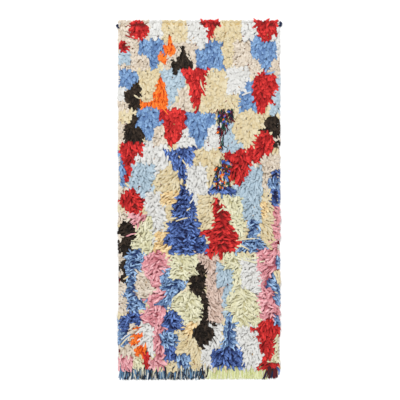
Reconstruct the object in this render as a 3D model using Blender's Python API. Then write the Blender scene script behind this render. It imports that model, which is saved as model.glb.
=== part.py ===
"""Shaggy rag-pile rug, lying flat on the floor.

Metres, +Z up. The origin is on the floor under the middle of the rug. +Y points to
the plain end, and the thick yarn fringe is at the other end, towards -Y.
"""

import random

import bmesh
import bpy
from mathutils import Vector, noise

# Driving dimensions of the woven field, without what hangs over its edges
FIELD_WIDTH = 0.808
FIELD_TOP_Y = 0.893
FIELD_END_Y = -0.845

# The pile: a lumpy layer of knotted rag strips, thinner towards the rim
KNOT_PITCH = 0.021
PILE_HEIGHT = 0.0215
SWELL_HEIGHT = 0.0045
SWELL_SPACING = 0.085
TUFT_HEIGHT = 0.0038
TUFT_SPREAD = 0.0042
RIM_HEIGHT_RANGE = (0.012, 0.017)
SHOULDER_SHARE = 0.82

# Locks of pile that stand out past the side and top edges
LOCK_STEPS = 2
SIDE_LOCK_REACH = 0.006
TOP_LOCK_REACH = 0.012
SHORTEST_LOCK_SHARE = 0.45
RIM_LOCK_SHARE = 0.6
RIM_LOCK_TAPER = [0.66, 0.66]
RIM_LOCK_FALL = 0.72
RIM_LOCK_LEAN = 0.0028

# The fringed end: short thick yarns on a narrow strip of weave
SEAM_GAP = 0.0003
STRIP_DEPTH = 0.012
STRIP_HEIGHT = 0.010
FRINGE_TIP_Y = -0.905
FRINGE_LENGTH_SPREAD = 0.16
FRINGE_LEAN = 0.0011
FRINGE_TAPER = [1.42, 0.7]
FRINGE_FALL = 0.86

# Each run of fringe: the ends of its strip across the rug, its number of yarns and how
# far the last one splays to the right
FRINGE_RUNS = [
    {"name": "fringe_teal", "left": -0.3960, "right": 0.0330, "yarns": 43, "splay": 0.0},
    {"name": "fringe_lime", "left": 0.0336, "right": 0.3440, "yarns": 31, "splay": 0.0},
    {"name": "fringe_maroon", "left": 0.3446, "right": 0.3960, "yarns": 5, "splay": 0.012},
]

# Finishes: linear colours of the wool
ROUGHNESS = 0.95
WOOL_COLOURS = {
    "pile_field": (0.72, 0.66, 0.52),
    "fringe_teal": (0.03, 0.08, 0.15),
    "fringe_lime": (0.62, 0.64, 0.30),
    "fringe_maroon": (0.12, 0.02, 0.03),
}

SEED = 41


def start_clean():
    for obj in list(bpy.data.objects):
        bpy.data.objects.remove(obj)


def wool(name):
    """A matt woollen finish in one colour."""
    colour = (*WOOL_COLOURS[name], 1.0)
    material = bpy.data.materials.new(name + "_wool")
    material.use_nodes = True
    shader = material.node_tree.nodes["Principled BSDF"]
    shader.inputs["Base Color"].default_value = colour
    shader.inputs["Roughness"].default_value = ROUGHNESS
    shader.inputs["Metallic"].default_value = 0.0
    material.diffuse_color = colour
    return material


def to_object(body, name, collection):
    """Turns an edited mesh into a named object with its own material."""
    mesh = bpy.data.meshes.new(name)
    body.normal_update()
    body.to_mesh(mesh)
    body.free()
    mesh.materials.append(wool(name))
    obj = bpy.data.objects.new(name, mesh)
    collection.objects.link(obj)
    return obj


def pile_height(place, rng):
    """Height of the pile's surface: slow swells with uneven tufts on them."""
    swell = noise.noise(place / SWELL_SPACING)
    tuft = rng.uniform(-1.0, 1.0)
    return PILE_HEIGHT + SWELL_HEIGHT * swell + TUFT_HEIGHT * tuft


def grow_lock(body, face, reach, lean, taper, fall):
    """Draws one upright face out into a lock that lies level on the floor.

    The underside stays on the floor while the width and the height change at each step.
    """
    outward = face.normal.copy()
    sideways = Vector((0.0, 0.0, 1.0)).cross(outward)
    step_out = outward * (reach / LOCK_STEPS) + sideways * (lean / LOCK_STEPS)
    for width_share in taper:
        face = bmesh.ops.extrude_discrete_faces(body, faces=[face])["faces"][0]
        middle = face.calc_center_median()
        for vert in face.verts:
            off_centre = (vert.co - middle).dot(sideways)
            vert.co += step_out + sideways * (off_centre * (width_share - 1.0))
            vert.co.z *= fall


def build_field(rng, collection):
    """The one-piece field: a lumpy pile over a flat underside, with locks at three edges."""
    length = FIELD_TOP_Y - FIELD_END_Y
    middle = Vector((0.0, (FIELD_TOP_Y + FIELD_END_Y) / 2, 0.0))
    body = bmesh.new()
    bmesh.ops.create_grid(
        body,
        x_segments=round(FIELD_WIDTH / KNOT_PITCH),
        y_segments=round(length / KNOT_PITCH),
        size=0.5,
    )
    bmesh.ops.scale(body, vec=(FIELD_WIDTH, length, 1.0), verts=body.verts)
    bmesh.ops.translate(body, vec=middle, verts=body.verts)

    # The rim goes straight down to the floor and one flat underside closes it
    rim_edges = [edge for edge in body.edges if edge.is_boundary]
    rim = {vert for edge in rim_edges for vert in edge.verts}
    neighbours = {edge.other_vert(vert) for vert in rim for edge in vert.link_edges}
    shoulder = neighbours - rim
    top_verts = list(body.verts)
    skirt = bmesh.ops.extrude_edge_only(body, edges=rim_edges)["geom"]
    floor_edges = [item for item in skirt if isinstance(item, bmesh.types.BMEdge)]
    for vert in top_verts:
        if vert in rim:
            vert.co.z = rng.uniform(*RIM_HEIGHT_RANGE)
            continue
        share = SHOULDER_SHARE if vert in shoulder else 1.0
        vert.co.z = share * pile_height(vert.co, rng)
        vert.co.x += rng.uniform(-TUFT_SPREAD, TUFT_SPREAD)
        vert.co.y += rng.uniform(-TUFT_SPREAD, TUFT_SPREAD)
    bmesh.ops.contextual_create(body, geom=floor_edges)
    bmesh.ops.recalc_face_normals(body, faces=body.faces)

    walls = [face for face in body.faces if abs(face.normal.z) < 0.1]
    walls.sort(key=lambda wall: wall.calc_center_median()[:])
    for wall in walls:
        at_fringe_end = wall.normal.y < -0.5
        if at_fringe_end or rng.random() > RIM_LOCK_SHARE:
            continue
        longest = TOP_LOCK_REACH if wall.normal.y > 0.5 else SIDE_LOCK_REACH
        reach = longest * rng.uniform(SHORTEST_LOCK_SHARE, 1.0)
        lean = rng.uniform(-RIM_LOCK_LEAN, RIM_LOCK_LEAN)
        grow_lock(body, wall, reach, lean, RIM_LOCK_TAPER, RIM_LOCK_FALL)
    return to_object(body, "pile_field", collection)


def build_fringe(run, rng, collection):
    """A narrow strip of weave with a row of thick yarns that lie level on the floor."""
    width = run["right"] - run["left"]
    strip_top_y = FIELD_END_Y - SEAM_GAP
    strip_middle = Vector(
        ((run["left"] + run["right"]) / 2, strip_top_y - STRIP_DEPTH / 2, STRIP_HEIGHT / 2)
    )
    body = bmesh.new()
    bmesh.ops.create_cube(body, size=1.0)
    bmesh.ops.scale(body, vec=(width, STRIP_DEPTH, STRIP_HEIGHT), verts=body.verts)
    bmesh.ops.translate(body, vec=strip_middle, verts=body.verts)
    lengthwise = [edge for edge in body.edges if edge.calc_length() > width * 0.99]
    bmesh.ops.subdivide_edges(body, edges=lengthwise, cuts=2 * run["yarns"])
    body.normal_update()

    # Every second face of the strip's front carries a yarn, with a bare one at both ends
    front = [face for face in body.faces if face.normal.y < -0.9]
    front.sort(key=lambda face: face.calc_center_median().x)
    full_reach = strip_top_y - STRIP_DEPTH - FRINGE_TIP_Y
    for number, face in enumerate(front[1::2]):
        reach = full_reach * (1.0 - FRINGE_LENGTH_SPREAD * rng.random())
        lean = run["splay"] * number / run["yarns"] + rng.uniform(-FRINGE_LEAN, FRINGE_LEAN)
        grow_lock(body, face, reach, lean, FRINGE_TAPER, FRINGE_FALL)
    return to_object(body, run["name"], collection)


def centre_on_origin(objects):
    """Moves every mesh so that the middle of the whole rug is above the origin."""
    vertices = [vertex for obj in objects for vertex in obj.data.vertices]
    for axis in (0, 1):
        values = [vertex.co[axis] for vertex in vertices]
        shift = -(min(values) + max(values)) / 2
        for vertex in vertices:
            vertex.co[axis] += shift


def main():
    start_clean()
    collection = bpy.data.collections.new("rag_pile_rug")
    bpy.context.scene.collection.children.link(collection)
    rng = random.Random(SEED)
    made = [build_field(rng, collection)]
    made += [build_fringe(run, rng, collection) for run in FRINGE_RUNS]
    centre_on_origin(made)


main()
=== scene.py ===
import math
from collections import namedtuple

import bpy
import numpy as np
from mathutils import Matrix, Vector


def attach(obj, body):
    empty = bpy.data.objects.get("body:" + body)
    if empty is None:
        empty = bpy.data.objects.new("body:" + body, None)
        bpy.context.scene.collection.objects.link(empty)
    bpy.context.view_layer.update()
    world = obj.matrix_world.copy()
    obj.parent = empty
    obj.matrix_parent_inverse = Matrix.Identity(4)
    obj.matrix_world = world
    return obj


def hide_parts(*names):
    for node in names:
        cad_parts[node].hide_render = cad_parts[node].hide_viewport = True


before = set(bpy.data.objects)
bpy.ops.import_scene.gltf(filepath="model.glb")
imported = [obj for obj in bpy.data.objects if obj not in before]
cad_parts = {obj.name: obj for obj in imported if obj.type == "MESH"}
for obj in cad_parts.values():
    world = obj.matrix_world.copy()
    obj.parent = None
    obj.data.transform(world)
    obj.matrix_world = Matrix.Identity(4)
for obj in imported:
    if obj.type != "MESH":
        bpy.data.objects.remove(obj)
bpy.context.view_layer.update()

rng = np.random.default_rng(7)


# Node graphs

class Signal:
    # an output socket that Python's operators can be used on
    def __init__(self, graph, socket):
        self.graph = graph
        self.socket = socket

    def math(self, operation, *terms):
        return self.graph.node("ShaderNodeMath", {"operation": operation}, dict(enumerate(terms)))

    def __add__(self, other):
        return self.math("ADD", self, other)

    def __sub__(self, other):
        return self.math("SUBTRACT", self, other)

    def __rsub__(self, other):
        return self.math("SUBTRACT", other, self)

    def __mul__(self, other):
        return self.math("MULTIPLY", self, other)

    def __truediv__(self, other):
        return self.math("DIVIDE", self, other)

    def sin(self):
        return self.math("SINE", self)

    def cos(self):
        return self.math("COSINE", self)

    def above(self, edge, soft):
        # 0 below edge, 1 above edge + soft, smooth between
        return self.graph.node("ShaderNodeMapRange", {"interpolation_type": "SMOOTHSTEP"},
                               {"Value": self, "From Min": edge, "From Max": edge + soft})


class Graph:
    def __init__(self, tree):
        self.tree = tree
        tree.nodes.clear()

    def node(self, kind, settings=None, inputs=None, output=0):
        made = self.tree.nodes.new(kind)
        for name, value in (settings or {}).items():
            if name == "stops":
                self.setStops(made.color_ramp, value)
            else:
                setattr(made, name, value)
        live = [socket for socket in made.inputs if socket.enabled]
        for name, value in (inputs or {}).items():
            target = live[name] if isinstance(name, int) else next(s for s in live if s.name == name)
            if isinstance(value, Signal):
                self.tree.links.new(value.socket, target)
            else:
                target.default_value = value
        outs = [socket for socket in made.outputs if socket.enabled]
        if not outs:
            return made
        found = outs[output] if isinstance(output, int) else next(s for s in outs if s.name == output)
        return Signal(self, found)

    def setStops(self, ramp, stops):
        # a ramp in plain steps
        ramp.interpolation = "CONSTANT"
        while len(ramp.elements) < len(stops):
            ramp.elements.new(0.5)
        for element, (place, colour) in zip(ramp.elements, stops):
            element.position = place
            element.color = (*colour, 1)

    def mixColour(self, factor, a, b):
        return self.node("ShaderNodeMix", {"data_type": "RGBA"}, {"Factor": factor, "A": a, "B": b})

    def attribute(self, name, output="Fac"):
        return self.node("ShaderNodeAttribute", {"attribute_name": name}, output=output)


def linear(red, green, blue):
    # a colour as seen, 0 to 255, to scene-linear
    seen = [value / 255 for value in (red, green, blue)]
    return tuple(v / 12.92 if v <= 0.04045 else ((v + 0.055) / 1.055) ** 2.4 for v in seen)


# Yarns: rag strips and wool yarns, sizes in millimetres, angles in degrees. hue is the face colour;
# the dark tone is that of the darkest strands and of painted shade in streaks, sides and roots;
# pale is that of the palest strands and of painted highlight streaks; shade is how much painted
# shade the roots and sides get.
yarns = {
    "red": dict(hue=(206, 28, 31), darkAndShade=(102, 2, 7), pale=(236, 66, 62), shade=0.66,
                wide=13.5, long=38, loft=2.5, unruly=17, bend=26, twist=24),
    "royal": dict(hue=(58, 86, 162), darkAndShade=(13, 24, 72), pale=(124, 158, 226), shade=0.88,
                  wide=12.5, long=40, loft=5.0, unruly=22, bend=36, twist=45),
    "midBlue": dict(hue=(116, 160, 210), darkAndShade=(32, 58, 108), pale=(182, 214, 246), shade=0.85,
                    wide=12.0, long=40, loft=5.0, unruly=22, bend=36, twist=45, slot="pile_cornflower"),
    "cornflower": dict(hue=(117, 152, 194), darkAndShade=(60, 90, 142), pale=(146, 181, 218), shade=0.6,
                       wide=12.5, long=36, loft=2.5, unruly=24, bend=30, twist=30),
    "sky": dict(hue=(169, 189, 202), darkAndShade=(140, 161, 176), pale=(191, 207, 217), shade=0.2,
                wide=13.0, long=36, loft=1.6, unruly=24, bend=36, twist=30),
    "cream": dict(hue=(207, 195, 161), darkAndShade=(199, 173, 120), pale=(221, 212, 187), shade=0.15,
                  wide=13.4, long=36, loft=1.4, unruly=20, bend=34, twist=24),
    "gold": dict(hue=(230, 204, 150), darkAndShade=(200, 158, 96), pale=(240, 224, 186), shade=0.4,
                 wide=12.0, long=36, loft=3.0, unruly=22, bend=34, twist=40, slot="pile_cream"),
    "beige": dict(hue=(212, 201, 184), darkAndShade=(178, 158, 134), pale=(228, 219, 207), shade=0.2,
                  wide=12.2, long=34, loft=1.6, unruly=28, bend=40, twist=32),
    "rosy": dict(hue=(214, 190, 175), darkAndShade=(170, 142, 126), pale=(228, 209, 198), shade=0.35,
                 wide=11.0, long=38, loft=3.0, unruly=24, bend=38, twist=40, slot="pile_beige"),
    "white": dict(hue=(211, 211, 208), darkAndShade=(194, 192, 187), pale=(222, 222, 220), shade=0.08,
                  wide=13.4, long=36, loft=1.4, unruly=24, bend=38, twist=24),
    "lime": dict(hue=(218, 215, 182), darkAndShade=(190, 184, 142), pale=(231, 229, 207), shade=0.3,
                 wide=12.0, long=40, loft=4.0, unruly=28, bend=44, twist=45),
    "pink": dict(hue=(233, 159, 165), darkAndShade=(168, 82, 94), pale=(245, 200, 204), shade=0.52,
                 wide=12.5, long=42, loft=4.5, unruly=22, bend=34, twist=40),
    "orange": dict(hue=(243, 106, 26), darkAndShade=(208, 62, 10), pale=(252, 156, 66), shade=0.4,
                   wide=9.0, long=34, loft=2.5, unruly=20, bend=30, twist=40),
    "black": dict(hue=(26, 20, 16), darkAndShade=(7, 5, 4), pale=(72, 58, 46), shade=0.7,
                  wide=11.5, long=36, loft=4.5, unruly=26, bend=36, twist=45),
}


# The pattern, charted in centimetres from the rug's middle: each line is one form of one yarn,
# on top of those before it. lean is where its pile points, from straight down towards the
# right, fan how far that spreads to its edges, turn the form's own turn, all in degrees.
Patch = namedtuple("Patch", "form yarn x y w h lean fan turn", defaults=(0, 10, 0))
pattern = []


def formOf(kind):
    return lambda yarn, *rest: pattern.append(Patch(kind, yarn, *rest))


block, up, down, lozenge, disc = map(formOf, ("block", "up", "down", "lozenge", "disc"))

# top rows
block("beige", -33, 72, 18, 38)
block("white", -21, 84, 8, 12)
block("cream", -11.5, 84, 14, 13)
block("white", 0, 81, 12, 19)
block("cream", 16, 82, 16, 18)
block("cream", 14, 71, 7, 15)
block("white", 26, 84, 9, 13)
block("white", 39, 79, 6, 20)
block("beige", -9.5, 71, 18, 16)
block("beige", 22.5, 71, 11, 17, 0, 30)
block("beige", 38, 66, 8, 10)
disc("red", -30.3, 85.5, 10.5, 9, 0, 60)
down("red", -29.3, 82, 8, 7, 0, 20)
disc("red", -37.6, 76.5, 5.5, 6.5, 20, 60)
block("sky", -37.5, 71, 7, 6, 30)
block("cornflower", -23.4, 76, 13, 8, 0, 15)
down("cornflower", -22.6, 69.5, 11, 15, 10, 20)
up("orange", -14.5, 79.5, 5, 8)
block("orange", -15, 75, 5.2, 6, -10, 30, 15)
block("orange", -18, 70.8, 5.5, 3.6, -20, 20, -50)
up("black", -8, 73, 7, 10, 15, 30)
block("black", -7.4, 67.4, 9, 5, 10, 30)
disc("red", 2.8, 88.4, 5, 5, 0, 60)
disc("red", 8.6, 88, 5.2, 6, 0, 60)
block("red", 5.6, 88.5, 5, 3, 0, 30)
block("red", 6.3, 84.5, 3.2, 6, -10, 20)
down("red", 5.3, 81.5, 4.2, 5.5, -10, 20, -10)
block("white", 29.5, 80.5, 7, 6)
block("red", 33.6, 88, 12.5, 4.5, 0, 30)
block("red", 34.2, 84.5, 10, 5, 0, 30)
down("red", 33.6, 80.3, 8, 7, 0, 20)
block("cornflower", 7.5, 75.5, 8.5, 7)
block("cornflower", 5, 69, 13.5, 12, 0, 15)
up("cornflower", 10.5, 67, 10, 8, 0, 15)
block("beige", 28, 66.5, 8, 11, 0, 20)
block("cornflower", 32.7, 75, 13, 8.5, 0, 25)
down("cornflower", 33.4, 68, 11, 13, 0, 20)
lozenge("cornflower", 29, 79.5, 3.5, 7)
# second rows
block("cornflower", -35, 59.8, 12, 10, 35, 10, -12)
block("cream", -24.5, 57.5, 12, 15)
block("white", -39, 50, 4, 14)
block("black", -33.2, 49.5, 8, 10, 15, 20)
lozenge("black", -31.5, 55.5, 6, 8, 10)
block("sky", -13.4, 58, 12.5, 14.5)
block("sky", -14.5, 48, 6, 8)
block("black", -12.5, 66.3, 2.8, 7.5, 10, 20)
block("beige", -6.5, 49.5, 8, 13, 10, 20)
block("beige", -10, 45.8, 9, 6, 10, 20)
up("orange", -19.3, 58, 7.5, 12, 0, 15)
block("orange", -19.4, 49.8, 7, 9.5, 0, 15)
block("orange", -25, 46.8, 9, 5.5, -10, 25)
block("cream", 9.5, 53.5, 15, 23)
down("red", -1.8, 58.5, 15, 14, 10, 25)
block("red", -0.9, 55.5, 8, 7, 0, 30)
down("red", -1.4, 48.5, 7.5, 14, 0, 15)
block("white", 19.8, 59.5, 12, 13.5)
block("cornflower", 24.8, 48.5, 9, 12)
block("cornflower", 25.4, 56.5, 4.8, 6.5)
block("sky", 38.2, 52, 5.5, 19)
disc("red", 33, 57.5, 13, 13, 0, 35)
block("red", 32.2, 52, 10.5, 8, 0, 50)
down("red", 31, 45.5, 9, 9, -10, 30)
# third rows
block("beige", -38.5, 38, 6, 22)
block("cream", -36.5, 41, 7, 5.5)
block("beige", -19.3, 31, 8.5, 16, 0, 30)
block("white", -6, 31, 10, 13)
block("white", 7, 31, 9, 14)
block("black", -32, 41, 3.4, 4.5, 20)
disc("black", -32.3, 33.2, 11, 13, 0, 40)
block("cornflower", -24.3, 41.2, 14.5, 9, 0, 35)
down("cornflower", -25.2, 33, 9.5, 14, 0, 15)
block("red", -13.4, 42.3, 13.5, 5.5, 0, 30)
block("red", -12.2, 37.5, 10.5, 6, 0, 40)
block("red", -13.3, 32.8, 8.5, 5, 0, 40)
down("red", -13.4, 28.2, 8, 7, 0, 20)
block("cornflower", 0.8, 40, 15, 7, 0, 30)
block("cornflower", 0, 34.5, 9.5, 7, 0, 40)
down("cornflower", 0.3, 28.5, 8, 11, 0, 20)
block("sky", 17, 31, 12, 15, 0, 20)
disc("cream", 25, 36, 17, 18, 0, 35)
block("cream", 26.5, 30, 9, 9, 10)
disc("black", 36.6, 37.6, 8.5, 9, 10, 50)
block("black", 38.6, 33, 4, 6, 10, 40)
block("black", 33.6, 34.6, 7, 3.5, -60, 20, 15)
block("beige", 39, 29.8, 3.6, 2.6)
disc("black", 39.4, 27.6, 4, 3.6, 60)
# fourth rows
block("white", -22, 21.2, 14, 10.5, -10, 20)
block("white", -25.5, 27.5, 6, 4, -10, 20)
block("white", -21.5, 14, 7, 8, -40, 20)
block("sky", -29, 8.5, 13, 19, 25, 20)
block("cream", -15.5, 5, 12, 20, -45, 30)
block("cornflower", -38.5, 15, 5, 20, 45)
block("white", -29.5, 21, 5, 7)
block("beige", -38.5, 2, 5, 9, 20)
block("red", -34, 25, 12, 6, 0, 40)
down("red", -35, 18.5, 10, 15, 10, 40)
disc("red", -36.3, 10.5, 2.8, 5)
down("royal", -8.2, 16.2, 17.5, 19, 15, 35, 8)
block("cream", 5.5, 12.5, 12, 25, 10, 20)
block("white", -0.9, 6.8, 10.3, 21, 20, 20)
block("beige", 35.5, 19, 12, 8, 20)
block("beige", 28.5, 18.5, 8, 7, 20)
block("beige", 34.3, 10, 5, 11, 20)
block("sky", 25.7, 7.5, 12.4, 17, -20, 30)
disc("red", 32.5, 28, 10, 12.5, -35, 50)
block("red", 27.5, 22.5, 9, 6, -40, 20, -35)
disc("red", 21, 18, 11.5, 14, -30, 60)
down("red", 20, 9.5, 9, 8, -20, 30)
block("red", 17, 13.5, 6, 8, -20, 30)
lozenge("red", 15, 22, 6, 5, -30, 45)
block("sky", 19.2, 1.8, 5.5, 10, -20, 30)
block("royal", 11.3, 4, 13.5, 5, 10, 60)
block("cornflower", 10.5, 1.2, 8.5, 4, 0, 60)
disc("royal", 38.3, 12, 6, 5.5, 0, 60)
block("midBlue", 37.5, 7, 6.5, 6, 10)
# middle
block("white", -21.8, -8, 10, 24, 0, 60)
block("white", -23.5, -22, 5, 9, 0, 50)
block("cream", 5, -8, 11, 20, -40, 30)
block("lime", 17.5, -12.5, 11, 28, 35, 30)
block("gold", -14.5, 0.5, 9, 7, -60)
block("gold", -18, -19.6, 8.5, 6.8, -65, 20)
block("gold", -18, -25.5, 14, 6, -65, 20)
block("cream", 35, -11, 11.5, 24, 50, 20)
block("gold", 32, -5, 5, 8, 50)
block("royal", 38.4, 1, 5, 9, 0, 60)
block("sky", 26.5, -4, 9.5, 15, -10, 40)
block("pink", 39.3, -11.5, 3.5, 16, 60)
up("royal", -7.5, 2.5, 13, 11, 0, 70)
block("royal", -7.6, -5.8, 13, 6, 0, 80)
up("royal", -7.6, -9, 21, 26, 0, 80)
block("royal", -7.7, -15, 16, 9, 0, 80)
block("royal", -7.2, -20.8, 21, 5, 0, 80)
block("royal", -5.3, -25, 19.5, 6, 0, 80)
up("red", 8.8, -1, 5.5, 6, 0, 40)
block("red", 9.5, -4.5, 5.5, 5, 0, 60)
block("red", 11.6, -10, 9.5, 8, 0, 70)
lozenge("red", 5, -17, 10, 5, -80)
block("red", 12.2, -16, 11.5, 6, 0, 75)
disc("red", 12.3, -21, 16, 13, 0, 75)
block("midBlue", 27.2, -15, 6.5, 9, 0, 75)
up("midBlue", 27.4, -20, 19, 14, 0, 80)
lozenge("red", -33.5, -1, 15, 16, 30, 50)
block("red", -32.6, -4.4, 9, 4.5, 30, 40, -12)
block("beige", -38, -9.5, 5.5, 7, 40)
block("lime", -28.5, -14.5, 9.5, 13, -55, 25)
block("lime", -30.2, -22.8, 13.5, 9, -55, 25)
block("pink", -31, -9.3, 8, 4.4, -60, 20)
block("pink", -32.3, -12.6, 4.4, 4, -40)
disc("black", -36.2, -16.5, 9, 12, -50, 30)
disc("black", -37.2, -23.5, 7, 11, -40, 30)
block("beige", -39.2, -19.6, 2.6, 3, 50)
# lower rows
block("black", -38.8, -32, 5, 14, 20, 20, 8)
disc("black", -38.8, -41, 4.5, 8, 40)
disc("beige", -39.4, -30, 2.6, 4, 50)
disc("beige", -39.6, -37, 2.2, 3.5, 50)
block("beige", -38.8, -46, 4, 8, 60)
disc("midBlue", -31.8, -31, 11.5, 13, 0, 80)
block("midBlue", -32.8, -41, 7.5, 14, 0, 75)
disc("midBlue", -32.8, -50.5, 14, 12, 0, 80)
block("beige", -26.6, -42.8, 9.5, 14, 70, 20)
disc("pink", -21.5, -33.5, 13.5, 15, 0, 75)
down("pink", -21.3, -41.5, 10, 9, 20, 60)
disc("midBlue", -12.8, -40.9, 13.5, 14, 0, 80)
block("midBlue", -15.5, -50.5, 12, 9, -55, 30)
block("lime", -7, -34, 16, 13, -10, 75)
block("rosy", 4.5, -30.5, 11, 7, 0, 30)
down("red", 5.6, -28, 4.5, 6.5, -15)
down("red", 10.8, -27, 6.5, 7, 10)
block("rosy", 7.8, -46.5, 8.5, 31, 30, 20)
disc("black", -0.8, -42.5, 9, 9.5, 15, 50)
block("black", 1.6, -37.5, 3.5, 8, -20, 30, -12)
disc("black", 0.6, -33.8, 4.5, 4, 60, 30)
block("black", 2, -50.5, 5, 9, 30, 20, 25)
block("sky", 13.3, -41.5, 9, 19, 0, 50)
block("rosy", 9.6, -50.8, 5, 13, 30, 20)
block("sky", 13.4, -53, 3.5, 11, -10, 20)
block("lime", 21, -30.3, 18, 5.5, 30, 40)
block("lime", 17.5, -32, 11, 7, 15, 60)
block("lime", 20, -39.5, 6.5, 12, 15, 50)
block("white", 27.5, -38.5, 13, 17, 0, 55)
block("white", 29.5, -47, 8.5, 6, 0, 60)
block("pink", 35.2, -30.5, 12.5, 11.5, -60, 20)
block("pink", 38.5, -23, 5.5, 5, -60, 20)
block("midBlue", 39.6, -31.5, 2.8, 6, 60)
block("pink", 34, -40.5, 6.5, 13, -55, 20)
up("midBlue", 37, -41, 9.5, 11, 55, 20)
disc("pink", 35, -54.5, 13.5, 19, 0, 70)
block("midBlue", 39.6, -50, 3, 6, 60)
disc("lime", 21.7, -54.5, 18, 20, 0, 75)
block("pink", -21.5, -49, 5, 10, -50, 20, -50)
disc("lime", -6.3, -55, 17, 18, 0, 78)
block("beige", -38.5, -53, 5, 8, 30)
block("midBlue", -38, -62.5, 6, 5, -50, 20)
disc("royal", -33.6, -62.2, 13.5, 11.5, -30, 60)
disc("pink", -21.8, -59.5, 15.5, 13, -35, 60)
disc("royal", -13, -62, 11, 13, 30, 60)
block("black", 3.2, -56.5, 3.5, 8, 0, 30)
# bottom rows
block("beige", -36.3, -77, 9.5, 8, 20, 30)
block("midBlue", -37.5, -70, 6.5, 7, -50)
block("beige", -33.5, -68, 4, 12, -60, 20)
disc("white", -26.6, -69, 12, 15, -10, 60)
down("white", -24.5, -76.5, 7, 12, 0, 20)
block("pink", -19.4, -74.5, 6.5, 21, 10, 45)
lozenge("orange", -31.8, -64.8, 5, 3.4, -75, 20)
lozenge("orange", -31.8, -68.4, 6, 3.8, -75, 20)
lozenge("orange", -32.2, -71.8, 5.5, 3.6, -75, 20)
disc("orange", -28.8, -76, 6.5, 6, 0, 25)
block("pink", -22.6, -82.5, 5, 5, 10, 20)
block("pink", -37, -82.5, 8, 6.5, 10)
up("lime", -30, -82, 8, 8, 0, 30)
block("red", -26.6, -81, 2.8, 9, 20)
block("cream", -5.5, -75.5, 15, 19, -20, 30)
disc("gold", -4.5, -65.5, 8, 7, -50, 30)
disc("midBlue", -14.8, -70.2, 10, 8.5, 60, 20)
block("royal", -14.5, -77, 5.5, 7, 20)
block("midBlue", -8.3, -81.2, 7.5, 6.5, 0, 40)
block("white", 5.7, -76.5, 9, 18, 0, 30)
block("white", 7.6, -66, 8, 9, 30, 40)
lozenge("black", 2.2, -67.5, 12, 18, 10, 60)
lozenge("black", 7.8, -62.2, 3.6, 2.8, 60, 20)
block("lime", 22.5, -62.5, 16, 7, 0, 60)
block("white", 19.5, -68, 6, 8, 10, 40)
up("midBlue", 14.8, -59, 5, 7, 20, 35)
block("midBlue", 15.6, -67, 6, 11, 20, 50)
disc("white", 26, -75, 17.5, 24, 10, 55)
lozenge("red", 27.6, -65, 5, 3.4, -70)
block("white", 26, -81, 11, 9, 5, 20)
block("midBlue", 15.2, -73.5, 9, 5, 0, 50)
block("royal", 14, -80, 15, 10, 0, 45)
block("royal", 23.5, -83.5, 2.4, 2.4)
block("red", 35.5, -65.5, 11.5, 9, 0, 40)
block("red", 34.8, -72.5, 8.5, 9, 0, 30)
block("red", 34.6, -79, 6, 7, 0, 30)
block("lime", 39.2, -74.5, 3.4, 12, -30)
up("lime", 38.4, -79, 9, 7, -50, 20)
block("red", 34.6, -83.8, 11.5, 4.4, 0, 60)
lozenge("midBlue", 39.2, -61.5, 4.5, 5, 30)

groundYarn = "cream"
# the yarn of each form, and last that of places in none
formYarns = np.array([patch.yarn for patch in pattern] + [groundYarn])


def insideForm(form, u, v):
    # u and v run from -1 to 1 over the form
    if form == "block":
        return np.maximum(np.abs(u), np.abs(v)) < 1
    if form == "up":
        return (np.abs(v) < 1) & (np.abs(u) < (1 - v) / 2)
    if form == "down":
        return (np.abs(v) < 1) & (np.abs(u) < (1 + v) / 2)
    if form == "lozenge":
        return np.abs(u) + np.abs(v) < 1
    return u * u + v * v < 1


def readPattern(x, y):
    # for places in metres, the last form that covers each and how far across it the place is
    number = np.full(x.shape, -1)
    across = np.zeros(x.shape)
    for index, patch in enumerate(pattern):
        turn = math.radians(patch.turn)
        dx, dy = x * 100 - patch.x, y * 100 - patch.y
        u = (dx * math.cos(turn) + dy * math.sin(turn)) / (patch.w / 2)
        v = (dy * math.cos(turn) - dx * math.sin(turn)) / (patch.h / 2)
        covered = insideForm(patch.form, u, v)
        number[covered] = index
        across[covered] = u[covered]
    return number, across


# Laying: every strand is laid in turn on a height map of what lies there already
field = dict(halfWidth=0.404, top=0.893, end=-0.845, ground=0.003, hem=0.004, drawSide=0.25,
             drawTop=0.5)
# a pair of values is for the unruly pile near the fringe and the calmer pile at the plain end
knots = dict(pitchX=(0.0120, 0.0080), rows=(0.0102, 0.0124), jitterX=(0.0042, 0.0032),
             jitterY=(0.0034, 0.0026), long=(0.80, 0.76), vary=(0.28, 0.24), wide=(0.80, 0.94),
             shuffle=(3.0, 0.8), unruly=(1.15, 1.1), loft=(1.0, 0.4), settle=(1.0, 0.6),
             taper=(0.6, 0.75))
calm = dict(start=0.12, over=0.25)
planting = dict(firstRow=0.015, inset=0.003, wander=0.004, wanderOver=0.15, batch=24)
rags = dict(steps=5, seen=0.018, clump=0.09, clumped=0.9, loose=0.9, girth=(0.7, 1.25), lift=0.003,
            fanFrom=0.5, fanOver=0.6, fanMost=0.85, toss=0.3, bendFrom=0.35)
tints = dict(loose=0.22, clumped=0.14, clump=0.06)
topEdge = dict(row=0.012, share=0.75, spread=0.35, long=0.6)
relief = dict(cell=0.003, margin=0.03, low=-0.94, high=0.93, stand=0.0060, rise=0.030, clumps=0.002,
              clumpSize=0.07, full=0.020, over=0.50)
# the cut through a strand, as shares of half its width: rags are flat, yarns are round. Along
# its length a strand gets thinner from thinFrom on and turns about twistFrom.
strip = dict(sides=6, flatness=0.32, fold=0.12, folds=3, foldTurn=0.6, round=0.75, crease=55,
             thinFrom=0.5, thinPower=1.6, rootThin=0.25, mostUneven=1.5, twistFrom=0.3)
# how a strand rests on what is there, as shares of its thickness and of half its width
contact = dict(seat=0.7, sink=0.5, top=0.65, drop=0.7, under=(-0.7, 0.0, 0.7),
               press=(-0.8, -0.4, 0.0, 0.4, 0.8), floor=0.0002)


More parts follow.
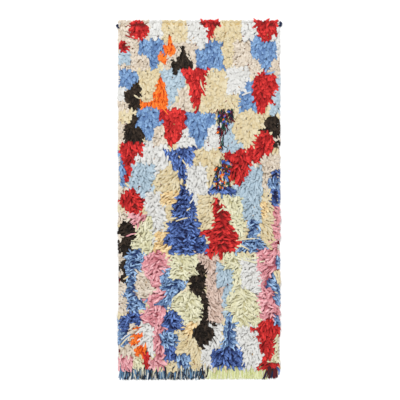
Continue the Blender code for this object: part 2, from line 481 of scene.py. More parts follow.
def smoothNoise(x, y, scale, waves=24):
    # a sum of sine waves in random directions, about -1 to 1
    angle = rng.uniform(0, math.tau, waves)
    pitch = math.tau / scale * rng.uniform(0.5, 1.2, waves)
    phase = rng.uniform(0, math.tau, waves)
    flow = (np.cos(angle) * pitch)[:, None] * x + (np.sin(angle) * pitch)[:, None] * y
    return np.sin(flow + phase[:, None]).sum(axis=0) * math.sqrt(2 / waves) / 1.6


class HeightMap:
    def __init__(self):
        self.x0 = -field["halfWidth"] - relief["margin"]
        self.y0 = relief["low"]
        rows = int((relief["high"] - relief["low"]) / relief["cell"])
        columns = int(-2 * self.x0 / relief["cell"])
        self.high = np.zeros((rows, columns))
        ys = self.y0 + (np.arange(rows) + 0.5) * relief["cell"]
        xs = self.x0 + (np.arange(columns) + 0.5) * relief["cell"]
        inward = np.minimum(field["halfWidth"] - np.abs(xs)[None, :],
                            np.minimum(field["top"] - ys, ys - field["end"])[:, None])
        gridX, gridY = np.meshgrid(xs, ys)
        clumps = smoothNoise(gridX.ravel(), gridY.ravel(), relief["clumpSize"]).reshape(gridX.shape)
        full = field["ground"] + relief["stand"] + relief["clumps"] * clumps
        share = np.clip(inward / relief["rise"], 0, 1)
        woven = inward > 0
        self.high[woven] = (field["ground"] + (full - field["ground"]) * share)[woven]
        self.base = self.high.copy()

    def cells(self, x, y):
        row = np.clip(((y - self.y0) / relief["cell"]).astype(int), 0, self.high.shape[0] - 1)
        column = np.clip(((x - self.x0) / relief["cell"]).astype(int), 0, self.high.shape[1] - 1)
        return row, column

    def under(self, x, y, sideX, sideY):
        total = 0
        for share in contact["under"]:
            total = total + self.high[self.cells(x + share * sideX, y + share * sideY)]
        return total / len(contact["under"])

    def press(self, x, y, sideX, sideY, top, drop):
        for share in contact["press"]:
            place = self.cells(x + share * sideX, y + share * sideY)
            self.high[place] = np.maximum(self.high[place], top - drop * share * share)


def turnedPaths(x, y, angle, length, bend):
    # paths from x, y. angle is measured from straight down towards the right, in radians
    share = np.linspace(0, 1, rags["steps"])
    heading = angle[:, None] + bend[:, None] * (share[None, 1:] - rags["bendFrom"])
    stride = (length / (rags["steps"] - 1))[:, None]
    start = np.zeros((len(x), 1))
    along = np.concatenate([start, np.cumsum(np.sin(heading) * stride, 1)], 1)
    down = np.concatenate([start, np.cumsum(-np.cos(heading) * stride, 1)], 1)
    return x[:, None] + along, y[:, None] + down


def drawnIn(px, py):
    # what reaches past a selvedge or the top edge is drawn in close to it
    edge = field["halfWidth"] - field["hem"]
    past = np.maximum(np.abs(px) - edge, 0)
    px = np.sign(px) * (np.minimum(np.abs(px), edge) + field["drawSide"] * past)
    past = np.maximum(py - field["top"], 0)
    return px, np.minimum(py, field["top"]) + field["drawTop"] * past


def layStrands(heights, px, py, girth, loft, lift, batches, rooted=True, settle=1.0, cut="flatness"):
    # gives flat paths their heights, one batch after another: each strand rests on what is
    # there, arches by loft and lifts its tip by lift. A settle below 1 presses it in.
    count, steps = px.shape
    share = np.linspace(0, 1, steps)
    wayX = np.gradient(px, axis=1)
    wayY = np.gradient(py, axis=1)
    size = np.hypot(wayX, wayY) + 1e-9
    sideX = -wayY / size * girth[:, None]
    sideY = wayX / size * girth[:, None]
    thick = (strip[cut] * girth * settle)[:, None]
    arch = np.sin(np.pi * share ** 0.8)[None, :] * loft[:, None] + share[None, :] ** 3 * lift[:, None]
    pz = np.zeros_like(px)
    fine = np.linspace(0, 1, 2 * steps + 3)
    for batch in batches:
        spot = (px[batch], py[batch], sideX[batch], sideY[batch])
        rest = heights.under(*spot) + contact["seat"] * thick[batch]
        eased = rest.copy()
        eased[:, 1:-1] = 0.25 * rest[:, :-2] + 0.5 * rest[:, 1:-1] + 0.25 * rest[:, 2:]
        high = np.maximum(eased, rest - contact["sink"] * thick[batch]) + arch[batch]
        # a full pile takes in what is laid on it
        piled = relief["full"] + (high - relief["full"]) * relief["over"]
        high = np.where(high > relief["full"], piled, high)
        if rooted:
            high[:, 0] = contact["seat"] * heights.base[heights.cells(px[batch][:, 0], py[batch][:, 0])]
        pz[batch] = high
        dense = [np.array([np.interp(fine, share, row) for row in part]) for part in (*spot, high)]
        if rooted:
            dense = [part[:, 2:] for part in dense]
        top = dense[4] + contact["top"] * thick[batch]
        heights.press(*dense[:4], top, contact["drop"] * thick[batch])
    return np.stack([px, py, pz], 2)


def inBatches(groups):
    order = np.argsort(groups, kind="stable")
    return np.split(order, np.nonzero(np.diff(groups[order]))[0] + 1)


def spread(values, count):
    # random amounts to both sides of zero, with values as their usual size
    return values * np.clip(rng.normal(size=count), -1.6, 1.6)


def joined(parts):
    return {key: np.concatenate([part[key] for part in parts]) for key in parts[0]}


# The pile

def calmAt(y):
    # 0 in the unruly pile near the fringe, 1 at the plain end, where it lies smoother
    return np.clip((y - calm["start"]) / calm["over"], 0, 1)


def lowToHigh(key, y):
    low, high = knots[key]
    return low + (high - low) * calmAt(y)


def plantKnots():
    # knots in rows, each row offset by half a knot
    rowsY = [field["end"] + planting["firstRow"]]
    inset = planting["inset"]
    while rowsY[-1] < field["top"] - field["hem"]:
        rowsY.append(rowsY[-1] + lowToHigh("rows", rowsY[-1]))
    planted = []
    for number, rowY in enumerate(rowsY):
        pitch = lowToHigh("pitchX", rowY)
        offset = 0.5 * pitch * (number % 2)
        rowX = np.arange(offset - field["halfWidth"] + field["hem"], field["halfWidth"] - inset, pitch)
        planted += [(x, rowY, number) for x in rowX]
    table = np.array(planted)
    x = table[:, 0] + rng.uniform(-1, 1, len(table)) * lowToHigh("jitterX", table[:, 1])
    y = table[:, 1] + rng.uniform(-1, 1, len(table)) * lowToHigh("jitterY", table[:, 1])
    y += planting["wander"] * smoothNoise(*table[:, :2].T, planting["wanderOver"])
    x = np.clip(x, inset - field["halfWidth"], field["halfWidth"] - inset)
    y = np.clip(y, field["end"] + field["hem"], field["top"] - inset)
    # rows are laid from the fringe upwards, in the unruly pile less strictly
    turn = table[:, 2] + rng.uniform(-1, 1, len(table)) * lowToHigh("shuffle", y)
    return x, y, np.array_split(np.argsort(turn), len(table) // planting["batch"])


def layPile(heights):
    x, y, batches = plantKnots()
    count = len(x)
    lean = np.radians([patch.lean for patch in pattern] + [0])
    fan = np.radians([patch.fan for patch in pattern] + [10])
    # the yarn is read where the lock will show, not at its knot
    angle = np.zeros(count)
    toss = rags["toss"] * rng.normal(size=count)
    for _ in range(3):
        seenX, seenY = x + np.sin(angle) * rags["seen"], y - np.cos(angle) * rags["seen"]
        number, across = readPattern(seenX, seenY)
        # where a form fans wide, its pile lies to one side or the other
        sideways = np.clip((fan[number] - rags["fanFrom"]) / rags["fanOver"], 0, rags["fanMost"])
        angle = lean[number] + fan[number] * (
            (1 - sideways) * across + sideways * np.sign(across + toss))

    def spec(key):
        return np.array([yarns[name][key] for name in formYarns], dtype=float)[number]

    atTop = (y > field["top"] - topEdge["row"]) & (rng.uniform(0, 1, count) < topEdge["share"])
    angle[atTop] = math.pi + spread(topEdge["spread"], atTop.sum())
    unruly = np.radians(spec("unruly")) * lowToHigh("unruly", y)
    clumped = rags["clumped"] * smoothNoise(x, y, rags["clump"])
    angle += unruly * (clumped + rags["loose"] * rng.normal(size=count))
    length = spec("long") / 1000 * (1 + rng.uniform(-1, 1, count) * lowToHigh("vary", y))
    length *= lowToHigh("long", y)
    length[atTop] *= topEdge["long"]
    girth = spec("wide") / 2000 * rng.uniform(*rags["girth"], count) * lowToHigh("wide", y)
    bend = spread(np.radians(spec("bend")) * lowToHigh("unruly", y), count)
    loft = spec("loft") / 1000 * lowToHigh("loft", y) * rng.uniform(0, 1, count) ** 1.5
    lift = rags["lift"] * rng.uniform(0, 1, count)
    px, py = drawnIn(*turnedPaths(x, y, angle, length, bend))
    number, across = readPattern(px[:, 2:4].mean(1), py[:, 2:4].mean(1))
    settle = lowToHigh("settle", y)
    paths = layStrands(heights, px, py, girth, loft, lift * settle, batches, settle=settle)
    tint = 0.5 + tints["loose"] * rng.normal(size=count)
    tint = np.clip(tint + tints["clumped"] * smoothNoise(x, y, tints["clump"]), 0, 1)
    twist = spread(np.radians(spec("twist")), count)
    lock = dict(paths=paths, girth=girth, tint=tint, twist=twist, taper=lowToHigh("taper", y))
    own = {name: formYarns[number] == name for name in yarns}
    return {name: {key: value[own[name]] for key, value in lock.items()} for name in yarns}


# Fringe at the end: where each run goes in metres, its pitch, how wide its yarns are and how
# they lean and splay in degrees
fringeRuns = {
    "fringe_teal": dict(left=-0.395, right=0.033, pitch=0.0054, wide=(0.0042, 0.0076), tip=-0.903,
                        ragged=0.008, lean=0, splay=0, sway=9),
    "fringe_lime": dict(left=0.034, right=0.344, pitch=0.0046, wide=(0.0046, 0.0066), tip=-0.901,
                        ragged=0.005, lean=0, splay=0, sway=5),
    "fringe_maroon": dict(left=0.345, right=0.398, pitch=0.0048, wide=(0.0056, 0.0084), tip=-0.899,
                          ragged=0.008, lean=-24, splay=22, sway=7),
}
fringeYarns = dict(root=-0.838, jitter=(-0.002, 0.004), layers=3, shift=0.37, inset=(0.003, 0.002),
                   shorter=(-0.4, 1), bend=12, twist=50, loft=0.0015, turns=3, settle=0.5)


def layFringe(heights, run):
    own = fringeYarns
    layers = []
    for layer in range(own["layers"]):
        first = run["left"] + own["inset"][0] + own["shift"] * layer * run["pitch"]
        x = np.arange(first, run["right"] - own["inset"][1], run["pitch"])
        count = len(x)
        y = own["root"] + rng.uniform(*own["jitter"], count)
        far = (x - run["left"]) / (run["right"] - run["left"])
        angle = np.radians(run["lean"] + run["splay"] * far) + spread(np.radians(run["sway"]), count)
        length = (y - run["tip"] - run["ragged"] * rng.uniform(*own["shorter"], count)) / np.cos(angle)
        girth = rng.uniform(*run["wide"], count) / 2
        px, py = turnedPaths(x, y, angle, length, spread(np.radians(own["bend"]), count))
        batches = inBatches(np.arange(count) % own["turns"])
        paths = layStrands(heights, px, py, girth, rng.uniform(0, own["loft"], count),
                           np.zeros(count), batches, settle=own["settle"], cut="round")
        layers.append(dict(paths=paths, girth=girth, tint=rng.uniform(0, 1, count),
                           twist=spread(np.radians(own["twist"]), count)))
    return joined(layers)


# Single strands that lie on the pile: yarn, width in millimetres, then the way it goes in
# centimetres from the rug's middle
strays = [
    ("red", 6, (-37, 82.2), (-33, 80.9), (-29, 79.8)),
    ("red", 5, (-36, 83.8), (-32.5, 82.2), (-29.5, 80.8)),
    ("orange", 5, (-14, 81.4), (-15, 79.8), (-15.6, 78)),
    ("orange", 6, (-19.5, 47), (-17.5, 45), (-15.5, 42.5)),
    ("cornflower", 9, (33, 62.7), (35.6, 63.2), (38.2, 64.2)),
    ("cream", 7, (0.6, 60), (1.2, 57), (2.9, 53.8)),
    ("white", 8, (21.5, 52.2), (24, 53.2), (26.2, 53.8)),
    ("cream", 7, (-32.5, 52.3), (-31, 51.2), (-29.3, 50.4)),
    ("black", 7, (-37.2, 38.4), (-35.5, 37.3), (-33.8, 36.1)),
    ("cream", 6, (-6.4, -5.6), (-5.2, -4.9), (-4, -4)),
    ("white", 7, (-4.6, -1.9), (-3.6, -0.6), (-2.6, 0.4)),
    ("cream", 7, (-11.6, -10.8), (-8, -9.6), (-4.6, -9)),
    ("cream", 7, (-11.2, 22.8), (-8.2, 19.6), (-5, 15.2)),
    ("red", 9, (2.4, 89.2), (5.8, 90), (9.6, 89.3)),
    ("red", 10, (2.2, 88.2), (1.6, 89.8), (0.7, 90.8)),
    ("red", 10, (8, 88.2), (8.8, 89.8), (9.9, 90.8)),
    ("red", 10, (29.6, 87.8), (28.8, 89.6), (27.4, 91)),
    ("red", 11, (33.4, 88), (34.2, 89.9), (35.4, 90.9)),
    ("red", 9, (37, 87.6), (38.2, 89.4), (39.8, 90.3)),
    ("red", 6, (6.8, 0.9), (8.2, 0.6), (9.4, -2.2)),
    ("royal", 9, (-4, -2.8), (-3.5, -7), (-3.9, -11.5)),
    ("royal", 15, (12.2, 18.6), (14.4, 18.2), (16.4, 17)),
    ("royal", 14, (12.6, 12.6), (13.6, 10.8), (14.6, 9)),
    ("cream", 8, (18.5, -20.5), (24, -19.7), (30, -19.4)),
    ("cream", 7, (20.5, -22.7), (23, -24), (25.2, -25.2)),
    ("cream", 7, (9, -6.7), (10.8, -5.2), (12.7, -3.8)),
    ("pink", 8, (-36.7, -18.6), (-34, -17.4), (-30.8, -16.9)),
    ("cream", 6, (-39.2, -73), (-37, -70.4), (-34.5, -68.2)),
    ("white", 6, (-39, -70.5), (-36.8, -68.4), (-34, -66.8)),
    ("cornflower", 7, (-38.8, -71.8), (-36.6, -69.4), (-34.2, -67.6)),
    ("black", 6, (5.6, -67.6), (7.4, -70), (8.8, -72.4)),
    ("black", 8, (1.6, -83), (1.9, -87.6), (3.1, -89.6)),
    ("black", 8, (4.4, -83.4), (4.4, -87.4), (3.2, -89.7)),
    ("cream", 7, (3, -82), (3.1, -85), (3.1, -87.6)),
    ("lime", 9, (22, -30), (28, -31.5), (33, -30.8)),
    ("royal", 10, (38.8, -83.8), (40.2, -85.8), (40.1, -88)),
    ("black", 9, (36.5, -85), (38, -86.8), (38.4, -88.8)),
]

# Tangles of thin leftover yarns: middle and size in metres, number of yarns and how much of
# them is short bright ends
Tangle = namedtuple("Tangle", "x y w h count bright")
tangles = [
    Tangle(0.130, 0.422, 0.074, 0.046, 80, 0.10),
    Tangle(0.124, 0.372, 0.046, 0.060, 40, 0.20),
    Tangle(0.110, 0.300, 0.022, 0.100, 30, 0.08),
    Tangle(0.134, 0.178, 0.050, 0.042, 40, 0.28),
    Tangle(0.118, 0.122, 0.072, 0.086, 90, 0.26),
    Tangle(0.118, 0.064, 0.080, 0.030, 12, 0.30),
]
tangleYarns = dict(
    dark=dict(turn=0.3, long=(0.024, 0.044), wide=(0.0034, 0.0050), raised=0.012, tint=(0, 0.56)),
    bright=dict(turn=1.0, long=(0.010, 0.019), wide=(0.0060, 0.0090), raised=0, tint=(0.5, 1)),
    batch=12, bend=0.8, twist=1.0, loft=0.004)
# thin short ends caught in the pale yarns, fewer in the unruly pile
flecks = dict(count=520, wide=(0.0035, 0.0055), long=(0.006, 0.013), pale=0.9, other=0.06,
              unruly=0.35, calmFrom=0.15, inset=0.006, ends=0.01, turn=1.5, bend=0.8, twist=0.5)
paleYarns = ("beige", "cream", "white", "sky", "gold", "rosy", "lime")
# the heights of the dark stitches on the left edge and on the right are in centimetres
selvedge = dict(pitch=0.0085, wide=(0.0065, 0.0095), long=0.019, vary=(0.8, 1.25), start=0.012,
                inset=(0.006, 0.004), jitter=0.002, down=0.5, loft=0.001, dark=0.06, near=0.008,
                darkTint=(0.84, 1.0), paleTint=(0.0, 0.8),
                stitches={-1: (68, 63, 54, 24, -8.5, -39, -41), 1: (77.5, 75.5, 66, 49, -21)})
# x, y and length of the knots at the top corners
cornerKnots = [(-0.405, 0.870, 0.014), (0.405, 0.880, 0.026)]
cornerYarn = dict(wide=0.0085, loft=0.003, tint=0.5)
strayYarn = dict(loft=0.002, tint=(0.5, 0.9))


def layWays(heights, ways, wides, loft):
    # strands through given points in metres, each laid on those before
    share = np.linspace(0, 1, rags["steps"])
    laid = []
    for way, wide in zip(ways, wides):
        points = np.array(way)
        knot = np.linspace(0, 1, len(points))
        px = np.interp(share, knot, points[:, 0])[None, :]
        py = np.interp(share, knot, points[:, 1])[None, :]
        laid.append(layStrands(heights, px, py, np.array([wide / 2]), np.array([loft]), np.zeros(1),
                               [np.array([0])], rooted=False))
    return np.concatenate(laid)


def layStrays(heights):
    laid = {}
    for yarn in sorted({stray[0] for stray in strays}):
        own = [(wide, np.array(way) / 100) for name, wide, *way in strays if name == yarn]
        wides = np.array([wide / 1000 for wide, way in own])
        paths = layWays(heights, [way for wide, way in own], wides, strayYarn["loft"])
        laid[yarn] = dict(paths=paths, girth=wides / 2, twist=np.zeros(len(own)),
                          tint=rng.uniform(*strayYarn["tint"], len(own)))
    return laid


def layTangles(heights):
    # thin dark strands hang down, short bright ends lie on them
    parts = []
    for tangle in tangles:
        count = tangle.count
        x = tangle.x + rng.uniform(-0.5, 0.5, count) * tangle.w
        y = tangle.y + rng.uniform(-0.5, 0.5, count) * tangle.h
        isBright = np.arange(count) > (1 - tangle.bright) * count
        kinds = (tangleYarns["bright"], tangleYarns["dark"])

        def given(key):
            return np.where(isBright, *(kind[key] for kind in kinds))

        def drawn(key):
            return np.where(isBright, *(rng.uniform(*kind[key], count) for kind in kinds))

        angle = spread(given("turn"), count)
        length = drawn("long")
        girth = drawn("wide") / 2
        px, py = turnedPaths(x, y + given("raised"), angle, length, spread(tangleYarns["bend"], count))
        batches = inBatches(np.arange(count) // tangleYarns["batch"])
        paths = layStrands(heights, px, py, girth, rng.uniform(0, tangleYarns["loft"], count),
                           np.zeros(count), batches, rooted=False)
        parts.append(dict(paths=paths, girth=girth, tint=drawn("tint"),
                          twist=spread(tangleYarns["twist"], count)))
    return joined(parts)


def layFlecks(heights):
    x = rng.uniform(-1, 1, flecks["count"]) * (field["halfWidth"] - flecks["inset"])
    y = rng.uniform(field["end"] + flecks["ends"], field["top"] - flecks["ends"], flecks["count"])
    pale = np.isin(formYarns[readPattern(x, y)[0]], paleYarns)
    chance = np.where(pale, flecks["pale"], flecks["other"])
    chance = chance * np.where(y > flecks["calmFrom"], 1.0, flecks["unruly"])
    kept = rng.uniform(0, 1, len(x)) < chance
    x, y = x[kept], y[kept]
    count = len(x)
    girth = rng.uniform(*flecks["wide"], count) / 2
    angle = rng.uniform(-flecks["turn"], flecks["turn"], count)
    length = rng.uniform(*flecks["long"], count)
    px, py = drawnIn(*turnedPaths(x, y, angle, length, spread(flecks["bend"], count)))
    flat = np.zeros(count)
    paths = layStrands(heights, px, py, girth, flat, flat, [np.arange(count)], rooted=False)
    tint = rng.uniform(0, 1, count)
    return dict(paths=paths, girth=girth, tint=tint, twist=spread(flecks["twist"], count))


def laySelvedge(heights):
    # short wraps round both long edges, some of them dark
    own = selvedge
    parts = []
    for side in (-1, 1):
        y = np.arange(field["end"] + own["inset"][0], field["top"] - own["inset"][1], own["pitch"])
        count = len(y)
        x = np.full(count, side * (field["halfWidth"] - own["start"]))
        y = y + rng.uniform(-own["jitter"], own["jitter"], count)
        angle = side * (math.pi / 2 - rng.uniform(0, own["down"], count))
        length = own["long"] * rng.uniform(*own["vary"], count)
        girth = rng.uniform(*own["wide"], count) / 2
        px, py = drawnIn(*turnedPaths(x, y, angle, length, np.zeros(count)))
        paths = layStrands(heights, px, py, girth, np.full(count, own["loft"]), np.zeros(count),
                           [np.arange(0, count, 2), np.arange(1, count, 2)])
        nearest = np.abs(y[:, None] - np.array(own["stitches"][side]) / 100).min(1)
        isDark = (nearest < own["near"]) | (rng.uniform(0, 1, count) < own["dark"])
        tint = np.where(isDark, *(rng.uniform(*own[key], count) for key in ("darkTint", "paleTint")))
        parts.append(dict(paths=paths, girth=girth, tint=tint, twist=np.zeros(count)))
    return joined(parts)


def layCorners(heights):
    ways = []
    for x, y, long in cornerKnots:
        side = math.copysign(1, x)
        ways += [[(x - side * 0.006, y - 0.012), (x + side * 0.006, y), (x, y + long / 2)],
                 [(x, y + long / 2), (x + side * 0.009, y + 0.004), (x + side * 0.004, y - long / 2)]]
    wides = np.full(len(ways), cornerYarn["wide"])
    paths = layWays(heights, ways, wides, cornerYarn["loft"])
    return dict(paths=paths, girth=wides / 2, twist=np.zeros(len(ways)),
                tint=np.full(len(ways), cornerYarn["tint"]))


# Strands from paths

def strandTree():
    tree = bpy.data.node_groups.new("ragStrand", "GeometryNodeTree")
    sockets = {"Geometry": "Geometry", "Sides": "Int", "Flatness": "Float", "Fold": "Float",
               "Crease": "Float", "Finish": "Material"}
    for name, kind in sockets.items():
        tree.interface.new_socket(name, in_out="INPUT", socket_type="NodeSocket" + kind)
    tree.interface.new_socket("Geometry", in_out="OUTPUT", socket_type="NodeSocketGeometry")
    g = Graph(tree)
    given = {name: g.node("NodeGroupInput", output=name) for name in sockets}

    def named(name):
        return g.node("GeometryNodeInputNamedAttribute", {"data_type": "FLOAT"}, {"Name": name})

    # the cut through a strand: a flattened round with a fold, its seam underneath
    ring = g.node("GeometryNodeCurvePrimitiveCircle", {"mode": "RADIUS"},
                  {"Resolution": given["Sides"], "Radius": 1.0})
    turn = g.node("GeometryNodeInputIndex") / given["Sides"] * math.tau
    side = turn.sin() * given["Flatness"]
    lift = side + (turn * strip["folds"] + strip["foldTurn"]).sin() * given["Fold"]
    place = g.node("ShaderNodeCombineXYZ", None, {"X": turn.cos(), "Y": lift})
    cut = g.node("GeometryNodeSetPosition", None, {"Geometry": ring, "Position": place})
    cut = g.node("GeometryNodeStoreNamedAttribute", {"data_type": "FLOAT", "domain": "POINT"},
                 {"Geometry": cut, "Name": "across", "Value": turn.cos()})

    path = g.node("GeometryNodeMeshToCurve", None, {"Mesh": given["Geometry"]})
    path = g.node("GeometryNodeSetCurveNormal", {"mode": "Z_UP"}, {"Curve": path})
    path = g.node("GeometryNodeSetCurveTilt", None, {"Curve": path, "Tilt": named("twist")})
    body = g.node("GeometryNodeCurveToMesh", None, {
        "Curve": path, "Profile Curve": cut, "Scale": named("girth"), "Fill Caps": True})
    body = g.node("GeometryNodeSetShadeSmooth", None, {"Geometry": body})
    crease = g.node("GeometryNodeInputMeshEdgeAngle") - given["Crease"]
    sharp = g.node("FunctionNodeCompare", {"data_type": "FLOAT", "operation": "GREATER_THAN"},
                   {"A": crease, "B": 0.0})
    body = g.node("GeometryNodeSetShadeSmooth", {"domain": "EDGE"},
                  {"Geometry": body, "Selection": sharp, "Shade Smooth": False})
    body = g.node("GeometryNodeRealizeInstances", None, {"Geometry": body})
    body = g.node("GeometryNodeSetMaterial", None, {"Geometry": body, "Material": given["Finish"]})
    g.node("NodeGroupOutput", None, {"Geometry": body})
    return tree


def addObject(name, data):
    made = bpy.data.objects.new(name, data)
    bpy.context.collection.objects.link(made)
    return made


def applied(obj, name):
    # the evaluated object as a plain mesh object, in place of the one with the modifier
    solid = bpy.data.meshes.new_from_object(obj.evaluated_get(bpy.context.evaluated_depsgraph_get()))
    bpy.data.objects.remove(obj)
    solid.name = name
    return addObject(name, solid)


def strands(name, lock, finish, node, taper=0.7, uneven=0.15, cut="flatness"):
    # One mesh of all the strands whose paths are given. taper is the share of its width that a
    # strand has left at its tip.
    paths = lock["paths"].copy()
    count, steps = paths.shape[:2]
    share = np.linspace(0, 1, steps)
    taper = np.broadcast_to(lock.get("taper", taper), count)[:, None]
    late = np.clip((share - strip["thinFrom"]) / (1 - strip["thinFrom"]), 0, 1)[None, :]
    swell = 1 - (1 - taper) * late ** strip["thinPower"] - strip["rootThin"] * (share == 0)
    most = strip["mostUneven"]
    girth = lock["girth"][:, None] * swell
    girth = girth * (1 + uneven * rng.normal(size=(count, steps)).clip(-most, most))
    twist = lock["twist"][:, None] * (share[None, :] - strip["twistFrom"])
    # nothing goes through the floor
    half = girth * ((strip[cut] + strip["fold"]) * np.cos(twist) + np.abs(np.sin(twist)))
    paths[:, :, 2] = np.maximum(paths[:, :, 2], half + contact["floor"])
    mesh = bpy.data.meshes.new(name + "Path")
    first = np.arange(count)[:, None] * steps + np.arange(steps - 1)[None, :]
    mesh.vertices.add(count * steps)
    mesh.vertices.foreach_set("co", paths.ravel())
    mesh.edges.add(count * (steps - 1))
    mesh.edges.foreach_set("vertices", np.stack([first, first + 1], 2).ravel())
    values = dict(girth=girth, twist=twist, along=share, tint=lock["tint"][:, None])
    for key, value in values.items():
        layer = mesh.attributes.new(key, "FLOAT", "POINT")
        value = np.broadcast_to(value, girth.shape)
        layer.data.foreach_set("value", np.ascontiguousarray(value, dtype=np.float32).ravel())
    source = addObject(name + "Path", mesh)
    modifier = source.modifiers.new("strands", "NODES")
    modifier.node_group = ragStrand
    given = {"Sides": strip["sides"], "Flatness": strip[cut], "Fold": strip["fold"],
             "Crease": math.radians(strip["crease"]), "Finish": finish}
    for item in ragStrand.interface.items_tree:
        if item.in_out == "INPUT" and item.name in given:
            modifier[item.identifier] = given[item.name]
    made = applied(source, name)
    made.data.materials.clear()
    made.data.materials.append(finish)
    for key in ("girth", "twist"):
        if key in made.data.attributes:
            made.data.attributes.remove(made.data.attributes[key])
    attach(made, "root")
    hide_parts(node)
    print(name, count, "strands,", sum(len(p.vertices) - 2 for p in made.data.polygons), "triangles")


# Finishes

# pairs are where a mask begins and over how much it rises, but for even and streakBy: a share
# and how much of a yarn's shade goes with it
# the root, side and sides entries set painted shade at each strand's root and sides, and the two streak
# masks set painted highlight streaks and painted shade streaks
wool = dict(rough=0.93, roughVary=0.12, sheen=0.06, sheenRough=0.5, specular=0.2, streak=0.55,
            streakBy=(0.6, 0.6), even=(0.62, 0.42), sides=0.75, bump=0.45, bumpDeep=0.0012,
            ownTint=(0.2, 0.6), highlightStreak=(0.46, 0.22), shadeStreak=(0.30, 0.22), root=(0.05, 0.6),
            side=(0.45, 0.5))
# dark is how bright the painted shade of each colour is, put in streaks and at the roots
mixedWool = dict(dark=0.4, shadeStreak=(0.32, 0.25), shadeStreakShare=0.6, root=(0.02, 0.5), rootShadeShare=0.5)
cloth = dict(stretch=(3.2, 5, 60), streak=1.5, fuzz=420, ribs=(9, 40), rib=0.3, fluff=0.9)


def fibres(g):
    # what a strand's points carry, streaks along it, and the height of its cloth for the bump
    tint, along, across = (g.attribute(key) for key in ("tint", "along", "across"))
    wide, long, apart = cloth["stretch"]
    place = g.node("ShaderNodeCombineXYZ", None,
                   {"X": across * wide, "Y": along * long, "Z": tint * apart})
    streak = g.node("ShaderNodeTexNoise", None,
                    {"Vector": place, "Scale": cloth["streak"], "Detail": 3, "Roughness": 0.6}, "Fac")
    spot = g.node("ShaderNodeTexCoord", output="Object")
    fuzz = g.node("ShaderNodeTexNoise", None,
                  {"Vector": spot, "Scale": cloth["fuzz"], "Detail": 3, "Roughness": 0.65}, "Fac")
    ribs = (across * cloth["ribs"][0] + along * cloth["ribs"][1]).sin()
    return tint, along, across, streak, ribs * cloth["rib"] + fuzz * cloth["fluff"]


def finished(g, body, streak, height):
    bump = g.node("ShaderNodeBump", None,
                  {"Height": height, "Strength": wool["bump"], "Distance": wool["bumpDeep"]})
    shader = g.node("ShaderNodeBsdfPrincipled", None, {
        "Base Color": body, "Roughness": wool["rough"] - streak * wool["roughVary"], "Normal": bump,
        "Sheen Weight": wool["sheen"], "Sheen Roughness": wool["sheenRough"],
        "Specular IOR Level": wool["specular"]})
    g.node("ShaderNodeOutputMaterial", None, {"Surface": shader})


def newMaterial(name):
    material = bpy.data.materials.new(name)
    material.use_nodes = True
    return material, Graph(material.node_tree)


def yarnFinish(name, yarn):
    # one yarn: its hue, each strand toned at random between its dark and pale tones, with painted
    # highlight streaks and painted shade streaks along each strand and painted shade on its sides and
    # root. A yarn with a strong shade also differs more from one strand to the next.
    material, g = newMaterial(name)
    hue, darkAndShade, pale = ((*linear(*yarn[key]), 1) for key in ("hue", "darkAndShade", "pale"))
    shade = yarn["shade"]
    tint, along, across, streak, height = fibres(g)
    body = g.mixColour(tint.above(*wool["ownTint"]), darkAndShade, pale)
    body = g.mixColour(wool["even"][0] - wool["even"][1] * shade, body, hue)
    # how strongly the painted highlight and painted shade streaks show
    paintedStreaks = wool["streak"] * (wool["streakBy"][0] + wool["streakBy"][1] * shade)
    # painted highlight: lighter streaks along each strand
    body = g.mixColour(streak.above(*wool["highlightStreak"]) * paintedStreaks, body, pale)
    # painted shade: darker streaks along each strand
    body = g.mixColour((1 - streak.above(*wool["shadeStreak"])) * paintedStreaks, body, darkAndShade)
    # painted shade at each strand's root, where it lies under others
    body = g.mixColour((1 - along.above(*wool["root"])) * shade, body, darkAndShade)
    # painted shade along each strand's sides
    side = (across * across).above(*wool["side"])
    body = g.mixColour(side * (shade * wool["sides"]), body, darkAndShade)
    finished(g, body, streak, height)
    return material


def mixedFinish(name, colours):
    # many yarns in one piece: each strand's tint picks one of the colours
    material, g = newMaterial(name)
    tint, along, _, streak, height = fibres(g)
    share = 0
    stops = []
    for weight, colour in colours:
        stops.append((share, linear(*colour)))
        share += weight
    picked = g.node("ShaderNodeValToRGB", {"stops": stops}, {"Fac": tint}, "Color")
    # painted shade: a darker copy of each colour, put into streaks along each strand and at its root
    dark = g.node("ShaderNodeVectorMath", {"operation": "SCALE"},
                  {"Vector": picked, "Scale": mixedWool["dark"]})
    shadeStreak = (1 - streak.above(*mixedWool["shadeStreak"])) * mixedWool["shadeStreakShare"]
    root = (1 - along.above(*mixedWool["root"])) * mixedWool["rootShadeShare"]
    body = g.mixColour(root, g.mixColour(shadeStreak, picked, dark), dark)
    finished(g, body, streak, height)
    return material


# the share and the colour of each yarn
mixes = {
    "fringe_teal": [(0.23, (30, 40, 62)), (0.19, (48, 80, 106)), (0.17, (94, 134, 170)),
                    (0.13, (26, 26, 30)), (0.10, (108, 108, 98)), (0.10, (154, 172, 184)),
                    (0.08, (212, 206, 188))],
    "fringe_lime": [(0.42, (216, 219, 158)), (0.30, (228, 231, 190)), (0.16, (198, 204, 132)),
                    (0.12, (226, 224, 202))],
    "fringe_maroon": [(0.38, (96, 28, 36)), (0.30, (32, 42, 72)), (0.22, (58, 36, 30)),
                      (0.10, (206, 190, 160))],
    "tangle": [(0.22, (22, 28, 50)), (0.22, (112, 20, 32)), (0.12, (28, 84, 64)),
               (0.20, (246, 116, 34)), (0.18, (58, 92, 184)), (0.06, (232, 228, 218))],
    "fleck": [(0.36, (104, 66, 44)), (0.26, (120, 24, 32)), (0.22, (176, 136, 84)),
              (0.16, (60, 66, 74))],
    "selvedge": [(0.50, (219, 208, 190)), (0.32, (226, 222, 214)), (0.18, (112, 26, 34))],
    "corner": [(0.6, (34, 44, 76)), (0.4, (52, 66, 104))],
}


